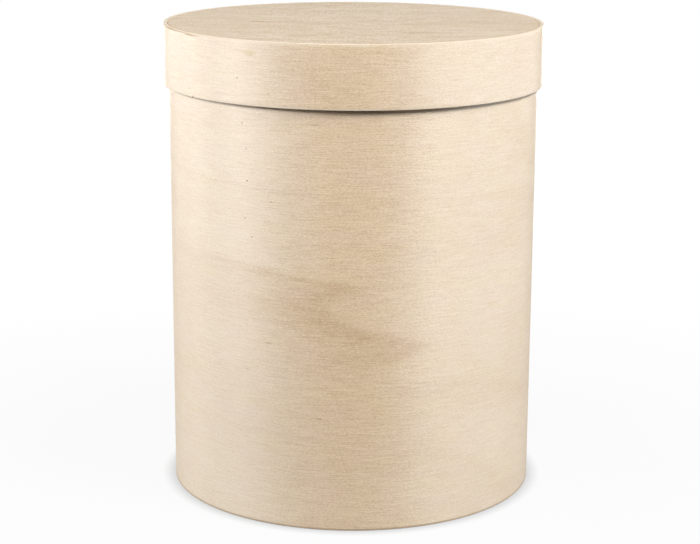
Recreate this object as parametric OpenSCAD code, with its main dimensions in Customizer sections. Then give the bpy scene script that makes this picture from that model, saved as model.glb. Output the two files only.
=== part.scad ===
// Round bentwood box with a lift-off lid.
// Two strips of veneer are bent into hoops, and each strip's feathered ends are glued in a long lap.
// A disc is glued into the foot of the tall hoop, and another into the top of the short one.
// The lid's disc rests on the rim of the body, and its band slips over the outside of the wall.
// Millimetres, +Z up. The origin is the centre of the foot, on the surface that the box stands on.

/* [Body] */
// Outside diameter of the body's wall
body_d = 146; // [100:1:240]
// Height of the body's wall, from foot to rim
body_h = 183; // [60:1:300]
// Thickness of the body's veneer
body_t = 1.5; // [1:0.1:2.5]
// Thickness of the base disc
base_t = 3; // [2:0.5:6]

/* [Lid] */
// Height of the lid's band, over everything
lid_h = 24; // [12:0.5:50]
// Thickness of the lid band's veneer
lid_t = 1.5; // [1:0.1:2.5]
// Thickness of the lid's disc
lid_disc_t = 3; // [2:0.5:6]
// Free play, all round, between the lid's lap and the body's lap
lid_play = 0.2; // [0.1:0.05:1]

/* [Lap joints] */
// Length of each lap, measured round the hoop
lap_len = 30; // [15:1:40]
// Step that is left where a strip's feathered end stops
lap_step = 0.15; // [0.05:0.05:0.3]
// Direction of the middle of the body's lap, seen from above
body_lap_at = 105; // [0:1:359]
// Direction of the middle of the lid's lap, seen from above
lid_lap_at = 128; // [0:1:359]

/* [Edges] */
// Radius of the sanded edges of both strips
edge_r = 0.4; // [0.2:0.05:0.6]
// Bevel sanded on the rims of both discs
disc_bevel = 0.3; // [0.1:0.05:0.6]
// Width of the glue line between a disc and its hoop
glue_gap = 0.05; // [0.02:0.01:0.1]

/* [Hidden] */
$fn = 128;

body_r = body_d / 2;
cavity_r = body_r - body_t;
// The lid has to slip over the body's lap with its own lap inside.
lid_bore_r = body_r + 2 * lap_step + lid_play;
lid_r = lid_bore_r + lid_t;
// The lid's disc rests on the rim of the body.
disc_z = body_h;
lid_top_z = disc_z + lid_disc_t;
lid_foot_z = lid_top_z - lid_h;
// The feathered ends are sanded away beside the edges of a strip and where a disc is glued in.
lap_margin = edge_r + 0.6;
// Cuts reach this far past what they cut.
past = 1;

veneer_colour = "#E6CFAE";
disc_colour = "#DCC8AB";

function heading(angle) = [cos(angle), sin(angle)];
// A sanded edge can't be rounder than its veneer allows.
function eased(thickness) = min(edge_r, 0.45 * thickness);

// A rectangle from low to high with round corners.
module rounded_rectangle(low, high, r) {
    size = high - low;
    translate([low.x + r, low.y]) square([size.x - 2 * r, size.y]);
    translate([low.x, low.y + r]) square([size.x, size.y - 2 * r]);
    for (x = [low.x + r, high.x - r], y = [low.y + r, high.y - r])
        translate([x, y]) circle(r);
}

// The space between two directions, out to a radius.
module sector(from, to, reach, height) {
    linear_extrude(height)
        polygon([[0, 0], for (i = [0:2]) reach * heading(from + (to - from) * i / 2)]);
}

// The outer end of a strip: it thins from the lap's far end to a step, lying on the hoop's outside.
module lap_tail(r, t, from, to, low, high) {
    offset_d = lap_step / sin(to - from);
    translate([0, 0, low])
        difference() {
            intersection() {
                translate(offset_d * heading(from + 90)) cylinder(r = r, h = high - low);
                sector(from, to, 2 * r, high - low);
            }
            translate([0, 0, -past]) cylinder(r = r - t / 2, h = high - low + 2 * past);
        }
}

// The inner end of a strip: the same taper the other way round, lying on the hoop's inside.
module lap_nose(r, t, from, to, low, high) {
    offset_d = lap_step / sin(to - from);
    translate([0, 0, low])
        intersection() {
            difference() {
                cylinder(r = r + t / 2, h = high - low);
                translate([0, 0, -past])
                    translate(offset_d * heading(to + 90)) cylinder(r = r, h = high - low + 2 * past);
            }
            sector(from, to, 2 * r, high - low);
        }
}

// One strip of veneer bent into a hoop, with sanded edges and its two ends lapped.
// The lap's inner end runs only between nose_low and nose_high, clear of the disc.
module bent_strip(r, t, low, high, lap_at, nose_low, nose_high) {
    half_lap = lap_len / r * 90 / PI;
    rotate_extrude() rounded_rectangle([r - t, low], [r, high], eased(t));
    lap_tail(r, t, lap_at - half_lap, lap_at + half_lap, low + lap_margin, high - lap_margin);
    lap_nose(r - t, t, lap_at - half_lap, lap_at + half_lap, nose_low, nose_high);
}

// A disc with both of its rims bevelled.
module wooden_disc(r, t, low) {
    translate([0, 0, low])
        rotate_extrude()
            polygon([
                [0, 0], [r - disc_bevel, 0], [r, disc_bevel],
                [r, t - disc_bevel], [r - disc_bevel, t], [0, t]
            ]);
}

module body_wall() {
    color(veneer_colour)
        bent_strip(body_r, body_t, 0, body_h, body_lap_at, base_t + lap_margin, body_h - lap_margin);
}

module base_disc() {
    color(disc_colour) wooden_disc(cavity_r - glue_gap, base_t, 0);
}

module lid_band() {
    color(veneer_colour)
        bent_strip(lid_r, lid_t, lid_foot_z, lid_top_z, lid_lap_at, lid_foot_z + lap_margin, disc_z - lap_margin);
}

module lid_disc() {
    color(disc_colour) wooden_disc(lid_bore_r - glue_gap, lid_disc_t, disc_z);
}

body_wall();
base_disc();
lid_band();
lid_disc();
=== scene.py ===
"""Round bentwood box with a lift-off lid: two bent strips of veneer and two discs of pale wood."""
import math
from collections import namedtuple

import bpy
from mathutils import Matrix, Vector


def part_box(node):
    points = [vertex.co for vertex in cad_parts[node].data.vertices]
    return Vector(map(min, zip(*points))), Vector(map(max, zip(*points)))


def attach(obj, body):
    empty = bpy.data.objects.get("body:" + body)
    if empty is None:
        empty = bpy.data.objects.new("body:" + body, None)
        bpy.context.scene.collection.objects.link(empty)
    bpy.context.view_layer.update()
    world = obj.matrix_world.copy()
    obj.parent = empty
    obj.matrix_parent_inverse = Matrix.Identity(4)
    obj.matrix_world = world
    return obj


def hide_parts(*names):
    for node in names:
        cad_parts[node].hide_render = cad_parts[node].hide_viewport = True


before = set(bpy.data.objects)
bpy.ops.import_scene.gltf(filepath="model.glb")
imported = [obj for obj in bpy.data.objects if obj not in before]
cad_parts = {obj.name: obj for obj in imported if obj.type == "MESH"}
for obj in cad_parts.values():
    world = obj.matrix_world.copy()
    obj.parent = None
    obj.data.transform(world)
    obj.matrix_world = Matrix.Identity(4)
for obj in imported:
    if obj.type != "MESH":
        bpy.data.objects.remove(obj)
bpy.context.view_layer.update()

# Sizes in metres, as the solids have them, with the same glue line between a strip's two ends.
VENEER_T = 0.0015
LAP_LENGTH = 0.030
LAP_STEP = 0.00015
GLUE_GAP = 0.00005

# Rounding of the edges, sharper than in the solids on the strips and in place of a bevel on the discs,
# and its largest share of the veneer where that is thin.
STRIP_EDGE_R = 0.0002
DISC_EDGE_R = 0.0003
THIN_EDGE_SHARE = 0.45

# Angles from +X: the middles of the two laps, and the front.
BODY_LAP_AT = math.radians(105)
LID_LAP_AT = math.radians(128)
FRONT = math.radians(270)
QUARTER_TURN = math.radians(90)

# Fineness of the meshes, and the angle from which an edge is sharp.
STRIP_STEP = math.radians(1.1)
ROW_HEIGHT = 0.0015
CORNER_STEPS = 5
DISC_COLUMNS = 288
DISC_RINGS = 36
SHARP_FROM = math.radians(50)

# The edge of a growth ring on each strip, as (height, arc from the front, strength) from the top down,
# and the arc from one ring to the next.
WALL_RING = [
    (0.183, -0.32, 0.25), (0.134, -0.29, 0.25), (0.126, -0.097, 0.30), (0.118, -0.082, 0.25),
    (0.110, -0.108, 0.15), (0.1036, -0.098, 0.15), (0.1026, -0.0375, 0.45), (0.0985, -0.015, 0.9),
    (0.0965, 0.009, 1.0), (0.088, -0.007, 1.0), (0.083, -0.003, 1.0), (0.078, 0.013, 1.0),
    (0.0725, 0.034, 1.0), (0.067, 0.022, 0.8), (0.064, 0.014, 0.5), (0.060, 0.012, 0.3),
    (0.056, 0.052, 0.2), (0.045, 0.096, 0.2), (0.040, 0.10, 0.2), (0.035, 0.23, 0.2), (0.0, 0.29, 0.25),
]
WALL_RING_PITCH = 0.193
BAND_RING = [(0.186, -0.020, 0.35), (0.174, 0.0, 0.35), (0.162, 0.014, 0.35)]
BAND_RING_PITCH = 0.26

# The growth rings across a disc: pitch, slant to the grain and strength, and their waves along it, with
# the height in metres, the rate in radians per metre and the start in radians.
DISC_RING_PITCH = 0.021
DISC_RING_SLANT = 0.08
DISC_RING_STRENGTH = 0.3
DISC_WAVE_HEIGHT = 0.004
DISC_WAVE_RATE = 45
DISC_WAVE_START = 0.8

# How dark the wood is from the edge of one growth ring to the next, as (share of the way, darkness).
RING_SHADE = [
    (0.0, 0.70), (0.025, 0.15), (0.08, 0.0), (0.60, 0.08), (0.82, 0.32), (0.975, 1.0), (1.0, 0.70),
]

# Colours of the wood, linear.
FRONT_WOOD = (0.885, 0.715, 0.52, 1)
# The colour to the strips' sides is a painted sheen: paler and greyer, it stands in for the highlights
# there.
PAINTED_SHEEN_WOOD = (0.865, 0.765, 0.63, 1)
DARK_WOOD = (0.575, 0.39, 0.215, 1)
DISC_PALE = (0.645, 0.552, 0.444, 1)
DISC_DARK = (0.465, 0.345, 0.215, 1)
# The sanded rims are paler both as worn wood and as a painted highlight on their rounded edges.
SANDED_AND_HIGHLIGHT_EDGE = (0.78, 0.675, 0.54, 1)
ROSY = (1.0, 0.978, 0.985, 1)
STRAW = (1.0, 0.99, 0.935, 1)
PORE = (0.34, 0.22, 0.12, 1)
BROWN = (0.42, 0.27, 0.14, 1)
YELLOW = (0.66, 0.53, 0.26, 1)
WHITE = (1, 1, 1, 1)

# The looks of the strips and of the discs: colours at the front, to the sides (a painted sheen) and of
# the dark grain, fineness of the grain, strength of the streaks and of the shine, how far the shine is
# drawn out across the fibres, the lowest and the highest roughness, and the glue line at the rim.
Look = namedtuple("Look", "pale sides dark fineness streaks shine drawn_out rough joint")
STRIP_LOOK = Look(
    pale=FRONT_WOOD, sides=PAINTED_SHEEN_WOOD, dark=DARK_WOOD, fineness=1.0, streaks=0.1,
    shine=1.0, drawn_out=0.8, rough=(0.40, 0.48), joint=0.0)
DISC_LOOK = Look(
    pale=DISC_PALE, sides=None, dark=DISC_DARK, fineness=0.11, streaks=0.7,
    shine=0.05, drawn_out=0.0, rough=(0.62, 0.72), joint=0.6)

# Distances along the grain, from the front of a strip or the middle of a disc, over which a strip's wood
# turns paler and any grain turns calmer, a painted sheen that stands in for the highlights on the sides,
# and how much grain is left there.
PAINTED_SHEEN_RANGE = (0.010, 0.055)
SHEEN_CALMER_RANGE = (0.015, 0.045)
SHEEN_CALM_GRAIN = 0.54

# The part of each noise that is used, from its least to its most.
DASHES_RANGE = (0.60, 0.74)
GLINTS_RANGE = (0.66, 0.78)
BLOTCHES_RANGE = (0.30, 0.70)
FIBRES_RANGE = (0.2, 0.8)

# Weights of the layers in the wood's darkness, and the darkness below them.
FIBRES_WEIGHT = 0.86
THREADS_WEIGHT = 0.67
CLOUDS_WEIGHT = 0.24
RING_WEIGHT = 0.36
DASHES_WEIGHT = 0.15
GLINTS_WEIGHT = -0.35
PLAIN_DARKNESS = 0.14

# How far the threads push a ring's edge and the sanded rim about, and how deep the dashes are cut.
RING_RAGGED = 0.05
RIM_RAGGED = 0.0012
DASH_DEPTH = 0.6

# Distances from a rim over which its sanded wood and its glue line fade, and how much of the sanded
# wood's colour and shine there is at the rim. The sanded wood is paler both as worn wood and as a
# painted highlight on the rounded edges.
SANDED_AND_HIGHLIGHT_RANGE = (0.0008, 0.0014)
JOINT_RANGE = (0.0003, 0.0010)
SANDED_AND_HIGHLIGHT_SHARE = 0.85
SANDED_SHINE = 0.2

# The turn of the noise's own lattice out of the grain's directions, and the spread of a seed over it.
NOISE_TURN = (0.6, 0.5, 0.4)
SEED_SPREAD = (1.0, 1.7, 0.6)

# Small marks on each face, as (along the grain, across it, half length, half width, colour, strength),
# the depth to which they go, and the share of a mark inside its soft edge.
WALL_MARKS = [
    (-0.0435, 0.1550, 0.0006, 0.00034, PORE, 0.70),
    (-0.0418, 0.1455, 0.0009, 0.00034, PORE, 0.45),
    (-0.0415, 0.1335, 0.0006, 0.00040, PORE, 0.80),
    (-0.0311, 0.1266, 0.0009, 0.00034, PORE, 0.50),
    (-0.0425, 0.1193, 0.0007, 0.00034, PORE, 0.60),
    (-0.0394, 0.1125, 0.0006, 0.00036, PORE, 0.70),
    (-0.0327, 0.0723, 0.0020, 0.00036, BROWN, 0.55),
    (-0.0422, 0.0607, 0.0012, 0.00034, BROWN, 0.40),
    (-0.0136, 0.1563, 0.0018, 0.00034, BROWN, 0.45),
    (-0.0065, 0.1175, 0.0016, 0.00034, BROWN, 0.40),
    (-0.0123, 0.0444, 0.0016, 0.00034, BROWN, 0.45),
    (-0.0200, 0.0380, 0.0600, 0.03000, BROWN, 0.08),
    # A painted shadow: a thin brown line all round the wall's foot, where it stands on the floor.
    (0.0, 0.0003, 1.0, 0.00060, BROWN, 0.60),
]
BAND_MARKS = [
    (-0.0453, 0.1719, 0.0006, 0.00038, PORE, 0.65),
    (-0.0320, 0.1670, 0.0006, 0.00034, PORE, 0.45),
    (-0.0395, 0.1815, 0.0034, 0.00160, YELLOW, 0.45),
    (-0.0960, 0.1857, 0.0340, 0.00038, BROWN, 0.90),
    (-0.0715, 0.1853, 0.0065, 0.00036, BROWN, 0.80),
    (-0.0700, 0.1622, 0.0008, 0.00045, PORE, 1.00),
    (0.0295, 0.1740, 0.0210, 0.03000, BROWN, 0.08),
]
LID_MARKS = [
    (-0.0376, -0.0035, 0.0050, 0.0022, BROWN, 0.75),
    (-0.0280, -0.0045, 0.0090, 0.0020, BROWN, 0.35),
    (-0.0150, -0.0110, 0.0140, 0.0018, BROWN, 0.60),
    (0.0250, -0.0370, 0.0130, 0.0020, BROWN, 0.50),
    (0.0130, -0.0450, 0.0200, 0.0018, BROWN, 0.30),
    (0.0085, -0.0722, 0.0050, 0.0010, BROWN, 0.70),
]
MARK_DEPTH = 0.0008
MARK_CORE = 0.4

# The white floor: its half width, its grey under the lamps, the distances over which it turns fully white
# and its level before, the reach and the level of the shadow at the foot, and its level in reflections.
FLOOR_HALF = 12.0
FLOOR_GREY = (0.03, 0.03, 0.03, 1)
WHITER_RANGE = (0.12, 0.5)
NEAR_LEVEL = 0.93
FOOT_REACH = 0.006
FOOT_LEVEL = 0.4
FLOOR_MIRRORED = 0.12

# Levels of the surround, in reflections and as a fill.
WORLD_MIRRORED = 0.05
WORLD_FILL = 0.01

# Soft lamps, as (name, azimuth, elevation, distance, (width, height), power), and where they point.
# Azimuth 0 is the front, and 90 the right.
LAMPS = [
    ("left_softbox", -66, 27, 1.2, (0.75, 0.3), 10.7),
    ("left_front_softbox", -34, 39, 2.0, (0.6, 0.69), 7.5),
    ("left_low_softbox", -88, 8, 1.0, (0.9, 0.3), 2.95),
    ("left_back_softbox", -125, 8, 1.0, (0.8, 0.3), 2.25),
    ("right_softbox", 56, 39, 2.0, (0.75, 0.69), 37.0),
    ("right_front_softbox", 26, 39, 2.0, (0.6, 0.69), 4.8),
    ("right_side_softbox", 80, 39, 2.0, (0.92, 0.69), 8.0),
    ("right_low_softbox", 84, 8, 1.0, (0.9, 0.3), 2.2),
    ("right_back_softbox", 126, 8, 1.0, (0.5, 0.3), 0.8),
    ("rear_softbox", 180, 0, 1.0, (0.8, 0.17), 3.0),
]
LAMP_AIM = Vector((0, 0, 0.10))

# The camera, fitted to the outlines of the lid, the wall and the foot.
IMAGE_W_PX = 700
FOCAL_PX = 1901
SENSOR_W_MM = 36
CAMERA_AT = Vector((-0.0009, -0.7538, 0.270))
CAMERA_TILT = math.radians(13.88)
CAMERA_ROLL = math.radians(0.3)
CAMERA_NEAR = 0.01


def ring_at(ring, height):
    """The arc and the strength of a ring's edge at a height."""
    if height >= ring[0][0]:
        return ring[0][1:]
    for (high, arc, strong), (low, next_arc, next_strong) in zip(ring, ring[1:]):
        if height >= low:
            share = (high - height) / (high - low)
            return arc + (next_arc - arc) * share, strong + (next_strong - strong) * share
    return ring[-1][1:]


def mesh_piece(name, points, faces, material, attributes):
    """A smooth mesh object with its material and its named values at each point."""
    mesh = bpy.data.meshes.new(name)
    mesh.from_pydata(points, [], faces)
    mesh.validate()
    for key, values in attributes.items():
        if isinstance(values[0], tuple):
            layer = mesh.attributes.new(key, "FLOAT_VECTOR", "POINT")
            layer.data.foreach_set("vector", [x for vector in values for x in vector])
        else:
            layer = mesh.attributes.new(key, "FLOAT", "POINT")
            layer.data.foreach_set("value", values)
    mesh.materials.append(material)
    mesh.shade_smooth()
    mesh.set_sharp_from_angle(angle=SHARP_FROM)
    piece = bpy.data.objects.new(name, mesh)
    bpy.context.scene.collection.objects.link(piece)
    return piece


def section(inner, outer, low, high):
    """A strip's cross-section, once round, as (radius, height, distance to the nearer rim) points."""
    ease = min(STRIP_EDGE_R, THIN_EDGE_SHARE * (outer - inner))
    rows = max(2, round((high - low) / ROW_HEIGHT))
    bottom, top = low + ease, high - ease
    points = []
    for near, far, start, end in ((outer, inner, bottom, top), (inner, outer, top, bottom)):
        for i in range(rows + 1):
            z = start + (end - start) * i / rows
            points.append((near, z, min(z - low, high - z)))
        inward = math.copysign(ease, far - near)
        onward = math.copysign(ease, end - start)
        for i in range(1, CORNER_STEPS + 1):
            a = QUARTER_TURN * i / CORNER_STEPS
            points.append((near + inward * (1 - math.cos(a)), end + onward * math.sin(a), 0.0))
        for i in range(CORNER_STEPS):
            a = QUARTER_TURN * i / CORNER_STEPS
            points.append((far - inward * (1 - math.sin(a)), end + onward * math.cos(a), 0.0))
    return points


def bent_strip(name, node, lap_at, ring, pitch, material):
    """One strip of veneer, bent more than once round so that its thinned ends lie over each other."""
    lowest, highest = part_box(node)
    outer_r = highest.x
    inner_r = outer_r - VENEER_T
    lap = LAP_LENGTH / outer_r
    bend = math.tau + lap
    columns = round(bend / STRIP_STEP)
    points, places, growth, figure, rims, faces = [], [], [], [], [], []
    for i in range(columns + 1):
        turned = bend * i / columns
        under = min(turned / lap, 1.0)
        over = max((turned - math.tau) / lap, 0.0)
        inside = inner_r - LAP_STEP * (1 - under)
        outside = outer_r + LAP_STEP * over
        if under < 1:
            outside = inner_r + VENEER_T * under - GLUE_GAP / 2
        if over > 0:
            inside = inner_r + VENEER_T * over + GLUE_GAP / 2
        outside = max(outside, inside + LAP_STEP)
        angle = lap_at - lap / 2 + turned
        arc = (angle - FRONT) * outer_r
        for radius, height, rim in section(inside, outside, lowest.z, highest.z):
            points.append((radius * math.cos(angle), radius * math.sin(angle), height))
            places.append((arc, height, radius - inner_r))
            ring_arc, strength = ring_at(ring, height)
            growth.append((arc - ring_arc) / pitch)
            figure.append(strength)
            rims.append(rim)
    count = len(points) // (columns + 1)
    for i in range(columns):
        here, there = i * count, (i + 1) * count
        for j in range(count):
            k = (j + 1) % count
            faces.append((there + j, there + k, here + k, here + j))
    faces.append(tuple(range(count)))
    faces.append(tuple(reversed(range(columns * count, len(points)))))
    values = {"grain_place": places, "growth": growth, "figure": figure, "rim": rims}
    return mesh_piece(name, points, faces, material, values)


def disc_growth(x, y):
    """The count of growth rings from the middle of a disc to a place on it."""
    wave = DISC_WAVE_HEIGHT * math.sin(DISC_WAVE_RATE * x + DISC_WAVE_START)
    return (y + DISC_RING_SLANT * x + wave) / DISC_RING_PITCH


def wooden_disc(name, node, material):
    """A flat round board with both rims rounded, its grain along X."""
    lowest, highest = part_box(node)
    low, high, radius = lowest.z, highest.z, highest.x
    flat = radius - DISC_EDGE_R
    upper = [(flat * i / DISC_RINGS, high) for i in range(1, DISC_RINGS)]
    for i in range(CORNER_STEPS + 1):
        a = QUARTER_TURN * i / CORNER_STEPS
        upper.append((flat + DISC_EDGE_R * math.sin(a), high - DISC_EDGE_R * (1 - math.cos(a))))
    profile = upper + [(r, low + (high - z)) for r, z in reversed(upper)]
    points = [(0.0, 0.0, high), (0.0, 0.0, low)]
    rims = [radius, radius]
    for i in range(DISC_COLUMNS):
        angle = math.tau * i / DISC_COLUMNS
        for r, z in profile:
            points.append((r * math.cos(angle), r * math.sin(angle), z))
            rims.append(radius - r)
    count = len(profile)
    faces = []
    for i in range(DISC_COLUMNS):
        a, b = 2 + i * count, 2 + (i + 1) % DISC_COLUMNS * count
        faces.append((0, a, b))
        faces.append((1, b + count - 1, a + count - 1))
        faces += [(a + j, a + j + 1, b + j + 1, b + j) for j in range(count - 1)]
    growth = [disc_growth(x, y) for x, y, z in points]
    figure = [DISC_RING_STRENGTH] * len(points)
    values = {"grain_place": points, "growth": growth, "figure": figure, "rim": rims}
    return mesh_piece(name, points, faces, material, values)


class Tree:
    """Short calls that build one node tree."""

    def __init__(self, owner):
        owner.use_nodes = True
        self.tree = owner.node_tree
        self.tree.nodes.clear()

    def node(self, kind, inputs=None, **settings):
        made = self.tree.nodes.new("ShaderNode" + kind)
        for key, value in settings.items():
            setattr(made, key, value)
        for key, value in (inputs or {}).items():
            if isinstance(value, bpy.types.NodeSocket):
                self.tree.links.new(value, made.inputs[key])
            else:
                made.inputs[key].default_value = value
        return made

    def attribute(self, name, output="Fac"):
        return self.node("Attribute", attribute_name=name).outputs[output]

    def math(self, operation, a, b=0.0, c=0.0):
        return self.node("Math", {0: a, 1: b, 2: c}, operation=operation).outputs[0]

    def vector(self, operation, a, b):
        return self.node("VectorMath", {0: a, 1: b}, operation=operation).outputs[0]

    def length(self, a):
        return self.node("VectorMath", {0: a}, operation="LENGTH").outputs["Value"]

    def remap(self, value, low, high, to_low=0.0, to_high=1.0):
        made = self.node("MapRange", {0: value, 1: low, 2: high, 3: to_low, 4: to_high}, clamp=True)
        return made.outputs[0]

    def noise(self, place, scale, seed, detail=0.0, distortion=0.0):
        at = self.vector("MULTIPLY_ADD", place, scale)
        at.node.inputs[2].default_value = tuple(seed * spread for spread in SEED_SPREAD)
        inputs = {"Vector": at, "Rotation": NOISE_TURN}
        at = self.node("VectorRotate", inputs, rotation_type="EULER_XYZ").outputs[0]
        inputs = {"Vector": at, "Scale": 1.0, "Detail": detail, "Distortion": distortion}
        return self.node("TexNoise", inputs).outputs["Fac"]

    def blend(self, share, a, b, kind="MIX"):
        made = self.node("Mix", {0: share, 6: a, 7: b}, data_type="RGBA", blend_type=kind)
        return made.outputs[2]

    def ramp(self, value, stops):
        made = self.node("ValToRGB", {0: value})
        bar = made.color_ramp.elements
        while len(bar) < len(stops):
            bar.new(0.5)
        for stop, (at, level) in zip(bar, stops):
            stop.position = at
            stop.color = (level, level, level, 1)
        return made.outputs[0]


def mark_share(t, place, middle, reach, strength):
    """How much of a small mark shows at each place: an ellipsoid with a soft edge."""
    away = t.length(t.vector("DIVIDE", t.vector("SUBTRACT", place, middle), reach))
    return t.remap(away, MARK_CORE, 1.0, strength, 0.0)


def wood(name, look, marks=(), face=VENEER_T, seed=0.0):
    """Raw pale wood, sanded: fine fibres, soft clouds, growth rings, a painted sheen towards the strips'
    sides, rims pale as worn wood and as a painted highlight, and small marks.
    """
    material = bpy.data.materials.new(name)
    t = Tree(material)
    place = t.attribute("grain_place", "Vector")
    rim = t.attribute("rim")
    aside = t.math("ABSOLUTE", t.node("SeparateXYZ", {0: place}).outputs[0])

    # Layers of noise, each with its scale along the grain, across it and through the wood.
    fine = look.fineness
    fibres = t.noise(place, (1200, 2500 * fine, 900), seed)
    threads = t.noise(place, (120, 2500 * fine, 500), seed + 3)
    dashes = t.remap(t.noise(place, (230, 1900 * fine, 700), seed + 7, detail=1), *DASHES_RANGE)
    glints = t.remap(t.noise(place, (700, 1700 * fine, 700), seed + 11, detail=1), *GLINTS_RANGE)
    clouds = t.noise(place, (9, 30, 20), seed + 17, detail=3, distortion=0.5)
    blotches = t.noise(place, (55, 150, 60), seed + 23, detail=2)
    streaks = t.noise(place, (40, 220, 60), seed + 29, detail=2, distortion=0.5)

    # Growth rings with ragged edges.
    ragged = t.math("MULTIPLY_ADD", threads, RING_RAGGED, t.attribute("growth"))
    ring = t.math("MULTIPLY", t.ramp(t.math("FRACT", ragged), RING_SHADE), t.attribute("figure"))

    # Darkness, as the sum of the layers.
    # Painted sheen: the grain turns calmer away from the front of a strip or the middle of a disc, as
    # under a highlight.
    sheen_calm = t.remap(aside, *SHEEN_CALMER_RANGE, 1.0, SHEEN_CALM_GRAIN)
    grain = t.math("MULTIPLY_ADD", fibres, FIBRES_WEIGHT, -(FIBRES_WEIGHT + THREADS_WEIGHT) / 2)
    grain = t.math("MULTIPLY_ADD", threads, THREADS_WEIGHT, grain)
    dark = t.math("MULTIPLY_ADD", grain, sheen_calm, PLAIN_DARKNESS - look.streaks / 2)
    layers = [
        (streaks, look.streaks), (clouds, CLOUDS_WEIGHT), (ring, RING_WEIGHT),
        (dashes, DASHES_WEIGHT), (glints, GLINTS_WEIGHT),
    ]
    for layer, weight in layers:
        dark = t.math("MULTIPLY_ADD", layer, weight, dark)

    # Colour, from pale to dark wood, with faint blotches.
    pale = look.pale
    # Painted sheen: the strips' wood turns paler and greyer towards their sides.
    if look.sides:
        pale = t.blend(t.remap(aside, *PAINTED_SHEEN_RANGE), look.pale, look.sides)
    colour = t.blend(t.remap(dark, 0.0, 1.0), pale, look.dark)
    tint = t.blend(t.remap(blotches, *BLOTCHES_RANGE), ROSY, STRAW)
    colour = t.blend(1.0, colour, tint, "MULTIPLY")

    # The sanded rim, pale both as worn wood and as a painted highlight, which has its own shine, the glue
    # line, and the marks, which are dull.
    worn_and_lit = t.math("MULTIPLY_ADD", threads, RIM_RAGGED, rim)
    colour = t.blend(t.remap(worn_and_lit, *SANDED_AND_HIGHLIGHT_RANGE, SANDED_AND_HIGHLIGHT_SHARE, 0.0), colour, SANDED_AND_HIGHLIGHT_EDGE)
    shine = t.remap(worn_and_lit, *SANDED_AND_HIGHLIGHT_RANGE, SANDED_SHINE, look.shine)
    if look.joint:
        colour = t.blend(t.remap(rim, *JOINT_RANGE, look.joint, 0.0), colour, BROWN)
    for along, across, half_length, half_width, mark_colour, strength in marks:
        reach = (half_length, half_width, MARK_DEPTH)
        share = mark_share(t, place, (along, across, face), reach, strength)
        colour = t.blend(share, colour, mark_colour)
        shine = t.math("MULTIPLY", shine, t.math("SUBTRACT", 1.0, share))

    # The surface, with its relief and its satin sheen.
    relief = t.math("MULTIPLY_ADD", dashes, -DASH_DEPTH, fibres)
    bump = t.node("Bump", {"Strength": 0.2, "Distance": 0.0002, "Height": relief}).outputs[0]
    rough = t.remap(fibres, *FIBRES_RANGE, *look.rough)
    round_box = t.node("Tangent", direction_type="RADIAL", axis="Z").outputs[0]
    shader = t.node("BsdfPrincipled", {
        "Base Color": colour, "Roughness": rough, "Normal": bump, "IOR": 1.7,
        "Specular IOR Level": shine, "Sheen Weight": 0.06, "Sheen Roughness": 0.5,
        "Anisotropic": look.drawn_out, "Anisotropic Rotation": 0.25, "Tangent": round_box,
    })
    t.node("OutputMaterial", {"Surface": shader.outputs[0]})
    return material


def seen_and_mirrored(t):
    """Whether a ray comes straight from the camera, and whether by a reflection or through glass."""
    path = t.node("LightPath").outputs
    return path["Is Camera Ray"], t.math("MAXIMUM", path["Is Glossy Ray"], path["Is Transmission Ray"])


def white_floor():
    """A white floor that stays white to the camera and keeps the shadow at the box's foot."""
    material = bpy.data.materials.new("white_floor")
    t = Tree(material)
    seen, mirrored = seen_and_mirrored(t)
    shown = t.math("MAXIMUM", t.math("MULTIPLY", mirrored, FLOOR_MIRRORED), seen)
    away = t.length(t.node("TexCoord").outputs["Object"])
    level = t.remap(away, *WHITER_RANGE, NEAR_LEVEL, 1.0)
    open_sky = t.node("AmbientOcclusion", {"Distance": FOOT_REACH}, samples=8).outputs["AO"]
    level = t.math("MULTIPLY", level, t.remap(open_sky, 0.0, 1.0, FOOT_LEVEL, 1.0))
    lit = t.node("BsdfDiffuse", {"Color": FLOOR_GREY})
    glow = t.node("Emission", {"Color": WHITE, "Strength": t.math("MULTIPLY", shown, level)})
    both = t.node("AddShader", {0: lit.outputs[0], 1: glow.outputs[0]})
    t.node("OutputMaterial", {"Surface": both.outputs[0]})
    corners = [(x * FLOOR_HALF, y * FLOOR_HALF, 0.0) for x, y in ((-1, -1), (1, -1), (1, 1), (-1, 1))]
    mesh = bpy.data.meshes.new("floor")
    mesh.from_pydata(corners, [], [(0, 1, 2, 3)])
    mesh.materials.append(material)
    floor = bpy.data.objects.new("floor", mesh)
    bpy.context.scene.collection.objects.link(floor)


def white_world():
    """A surround that is white to the camera, with its own levels in reflections and as a fill."""
    world = bpy.data.worlds.new("white_world")
    t = Tree(world)
    seen, mirrored = seen_and_mirrored(t)
    strength = t.math("MAXIMUM", t.remap(mirrored, 0.0, 1.0, WORLD_FILL, WORLD_MIRRORED), seen)
    light = t.node("Background", {"Color": WHITE, "Strength": strength})
    t.node("OutputWorld", {"Surface": light.outputs[0]})
    bpy.context.scene.world = world


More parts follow.
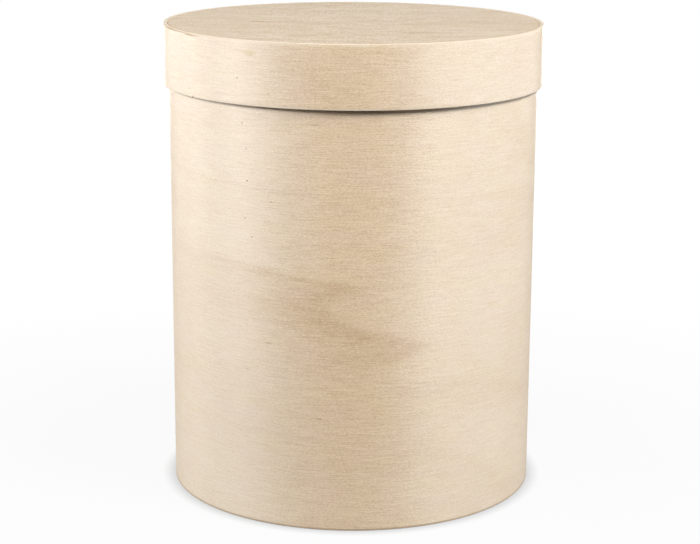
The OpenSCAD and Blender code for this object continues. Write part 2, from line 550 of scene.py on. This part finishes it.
def softbox(name, azimuth, elevation, distance, size, power):
    """A rectangular lamp that faces the middle of the box."""
    a, e = math.radians(azimuth), math.radians(elevation)
    out = Vector((math.sin(a) * math.cos(e), -math.cos(a) * math.cos(e), math.sin(e)))
    lamp = bpy.data.lights.new(name, "AREA")
    lamp.shape = "RECTANGLE"
    lamp.size, lamp.size_y = size
    lamp.energy = power
    holder = bpy.data.objects.new(name, lamp)
    holder.location = LAMP_AIM + out * distance
    holder.rotation_mode = "QUATERNION"
    holder.rotation_quaternion = (-out).to_track_quat("-Z", "Y")
    holder.visible_camera = False
    bpy.context.scene.collection.objects.link(holder)


def camera():
    """The photograph's view: from the front and a little above the lid, looking down."""
    data = bpy.data.cameras.new("camera")
    data.sensor_width = SENSOR_W_MM
    data.lens = FOCAL_PX * SENSOR_W_MM / IMAGE_W_PX
    data.clip_start = CAMERA_NEAR
    holder = bpy.data.objects.new("camera", data)
    tilt = Matrix.Rotation(QUARTER_TURN - CAMERA_TILT, 4, "X")
    roll = Matrix.Rotation(CAMERA_ROLL, 4, "Z")
    holder.matrix_world = Matrix.Translation(CAMERA_AT) @ tilt @ roll
    bpy.context.scene.collection.objects.link(holder)
    bpy.context.scene.camera = holder


def place_piece(piece, body, node):
    """Puts a piece on its body in the place of its node."""
    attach(piece, body)
    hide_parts(node)


def box():
    """The four pieces, each with the radius and the heights of its node."""
    lid_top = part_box("lid_disc")[1].z
    wall_wood = wood("wall_wood", STRIP_LOOK, WALL_MARKS, seed=1.3)
    band_wood = wood("band_wood", STRIP_LOOK, BAND_MARKS, seed=8.7)
    base_wood = wood("base_wood", DISC_LOOK, seed=5.1)
    lid_wood = wood("lid_wood", DISC_LOOK, LID_MARKS, face=lid_top, seed=12.9)
    wall = bent_strip("wall_strip", "body_wall", BODY_LAP_AT, WALL_RING, WALL_RING_PITCH, wall_wood)
    band = bent_strip("band_strip", "lid_band", LID_LAP_AT, BAND_RING, BAND_RING_PITCH, band_wood)
    base = wooden_disc("base_board", "base_disc", base_wood)
    top = wooden_disc("lid_board", "lid_disc", lid_wood)
    place_piece(wall, "body", "body_wall")
    place_piece(base, "body", "base_disc")
    place_piece(band, "lid", "lid_band")
    place_piece(top, "lid", "lid_disc")


bpy.context.scene.view_settings.view_transform = "Standard"
camera()
box()
white_floor()
white_world()
for lamp in LAMPS:
    softbox(*lamp)
